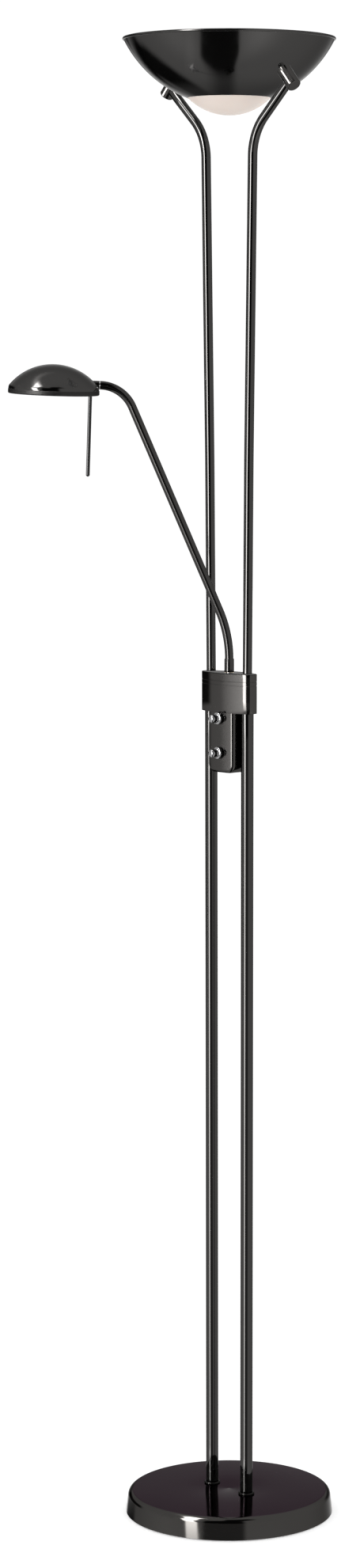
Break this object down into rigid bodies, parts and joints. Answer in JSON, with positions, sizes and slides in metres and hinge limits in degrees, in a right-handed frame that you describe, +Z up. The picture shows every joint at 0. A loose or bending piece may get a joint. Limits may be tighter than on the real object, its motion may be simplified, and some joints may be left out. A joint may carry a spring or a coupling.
{
  "type": "torchiere floor lamp with reading light",
  "caption": "Free-standing uplight on a twin-tube pole: round weighted base, collar with dimmer knobs, open bowl with frosted glass dome, and a swivelling arm with a domed reading head.",
  "frame": {"origin": "centre of the underside of the base, on the floor", "axes": "+Z up; +X along the line through the two poles; -Y towards the side with the knobs"},
  "size_m": [0.325, 0.3399, 1.8],
  "materials": {
    "black_chrome": "polished smoked black chrome plate on steel",
    "bright_chrome": "polished chrome plate",
    "cast_iron": "sand-cast, painted",
    "felt": "pressed black felt",
    "rubber": "moulded black rubber",
    "zinc_steel": "zinc-plated steel",
    "brass": "turned brass",
    "shaft_steel": "turned steel",
    "black_plastic": "moulded black plastic",
    "white_plastic": "moulded white nylon",
    "circuit_board": "green glass-fibre board with parts",
    "ceramic": "white steatite ceramic",
    "frosted_glass": "frosted cream-white glass",
    "clear_glass": "clear glass",
    "reflector_aluminium": "bright anodised spun aluminium",
    "lead_sheath": "white heat-proof sheathed lead"
  },
  "bodies": {
    "stand": {"base_cover": "black_chrome", "base_weight": "cast_iron", "base_pad": "felt", "cord_grommet": "rubber", "pole_foot_rings": "black_chrome", "pole_foot_nipples": "zinc_steel", "tube_end_bushes": "zinc_steel", "lower_tube_left": "black_chrome", "lower_tube_right": "black_chrome", "control_housing": "black_chrome", "collar_cap": "black_chrome", "housing_back_cover": "black_chrome", "back_cover_screws": "zinc_steel", "tube_grub_screws": "zinc_steel", "dimmer_bodies": "black_plastic", "dimmer_nuts": "zinc_steel", "circuit_board": "circuit_board", "terminal_block": "white_plastic", "arm_swivel_bush": "brass", "upper_rod_left": "black_chrome", "upper_rod_right": "black_chrome", "knuckle_left": "black_chrome", "knuckle_right": "black_chrome", "knuckle_nipples": "zinc_steel", "knuckle_nuts": "zinc_steel", "bowl_shell": "black_chrome", "glass_dome": "frosted_glass", "glass_retainer": "zinc_steel", "retainer_posts": "zinc_steel", "lamp_bridge": "zinc_steel", "lamp_holder_left": "ceramic", "lamp_holder_right": "ceramic", "halogen_tube": "clear_glass", "halogen_caps": "ceramic", "safety_glass": "clear_glass", "safety_glass_clips": "zinc_steel", "supply_lead": "lead_sheath", "bowl_lead": "lead_sheath"},
    "arm": {"arm_ferrule": "black_chrome", "arm_tube": "black_chrome", "arm_spigot": "zinc_steel", "arm_swivel_nut": "zinc_steel", "arm_tip_spigot": "zinc_steel", "arm_tip_nut": "zinc_steel", "arm_lead": "lead_sheath"},
    "head": {"head_socket": "black_chrome", "head_shade": "black_chrome", "head_frame": "zinc_steel", "shade_stud": "zinc_steel", "shade_stud_nuts": "zinc_steel", "head_reflector": "reflector_aluminium", "head_lamp_holder": "ceramic", "head_lamp": "clear_glass", "head_front_glass": "clear_glass", "head_glass_ring": "zinc_steel", "handle_rod": "black_chrome"},
    "upper_knob": {"upper_knob": "bright_chrome", "upper_dimmer_shaft": "shaft_steel"},
    "lower_knob": {"lower_knob": "bright_chrome", "lower_dimmer_shaft": "shaft_steel"}
  },
  "joints": [
    {"name": "arm_swivel", "type": "hinge", "parent": "stand", "child": "arm", "pos_m": [0, 0, 1.043], "axis": [0, 0, 1], "range_deg": [-22, 107]},
    {"name": "head_tilt", "type": "hinge", "parent": "arm", "child": "head", "pos_m": [-0.10418, -0.11477, 1.3887], "axis": [-0.6717, -0.74, 0.0349], "range_deg": [-90, 90]},
    {"name": "upper_knob_turn", "type": "hinge", "parent": "stand", "child": "upper_knob", "pos_m": [0, -0.02, 0.988], "axis": [0, 1, 0], "range_deg": [0, 300]},
    {"name": "lower_knob_turn", "type": "hinge", "parent": "stand", "child": "lower_knob", "pos_m": [0, -0.02, 0.946], "axis": [0, 1, 0], "range_deg": [0, 300]}
  ]
}
